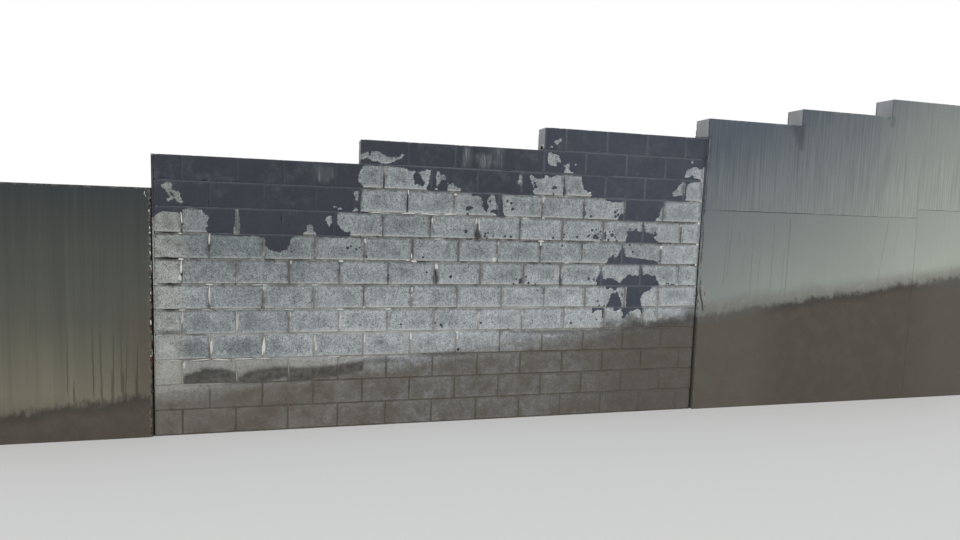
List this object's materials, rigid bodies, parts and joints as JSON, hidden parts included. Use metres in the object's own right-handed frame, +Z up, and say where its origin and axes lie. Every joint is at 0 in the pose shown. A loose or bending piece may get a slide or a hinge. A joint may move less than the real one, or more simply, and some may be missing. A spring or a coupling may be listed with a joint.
{
  "type": "stepped concrete block retaining wall",
  "caption": "Stepped retaining wall: a bare concrete block bay laid in half bond with raked joints, between rendered bays with movement joints and a stepped top.",
  "frame": {"origin": "centre of the level base, under the middle of the wall's length and thickness", "axes": "+X along the wall towards its high end, +Y through the wall to the retained side, +Z up"},
  "size_m": [9.79, 0.226, 3.12],
  "materials": {
    "concrete_block": "matt, open-grained grey concrete block with raked grey-brown mortar",
    "core_masonry": "matt grey masonry, hidden by render",
    "render_dark": "matt dark olive-grey cement render with weather streaks",
    "render_light": "matt grey-green cement render with weather streaks",
    "render_cap": "matt light grey cement render on tops and step ends",
    "joint_filler": "matt dark compressible joint filler",
    "mortar": "matt grey-brown sand and cement mortar",
    "waterproofing": "dull black bituminous paint, worn ragged at its lower edge"
  },
  "bodies": {
    "root": {"block_course_01": "concrete_block", "block_course_02": "concrete_block", "block_course_03": "concrete_block", "block_course_04": "concrete_block", "block_course_05": "concrete_block", "block_course_06": "concrete_block", "block_course_07": "concrete_block", "block_course_08": "concrete_block", "block_course_09": "concrete_block", "block_course_10": "concrete_block", "block_course_11": "concrete_block", "block_course_12": "concrete_block", "block_course_13": "concrete_block", "left_bay_core": "core_masonry", "right_bay_core_step_1": "core_masonry", "right_bay_core_step_2": "core_masonry", "right_bay_core_step_3": "core_masonry", "end_bay_core_step_1": "core_masonry", "left_bay_front_render": "render_dark", "left_bay_back_render": "render_dark", "right_bay_front_render_lower": "render_light", "right_bay_front_render_upper": "render_light", "right_bay_back_render_lower": "render_light", "right_bay_back_render_upper": "render_light", "end_bay_front_render_lower": "render_light", "end_bay_front_render_upper": "render_light", "end_bay_back_render_lower": "render_light", "end_bay_back_render_upper": "render_light", "left_bay_cap_render": "render_cap", "right_bay_cap_render": "render_cap", "end_bay_cap_render": "render_cap", "left_control_joint": "joint_filler", "right_control_joint": "joint_filler", "panel_joint": "joint_filler"}
  },
  "joints": []
}
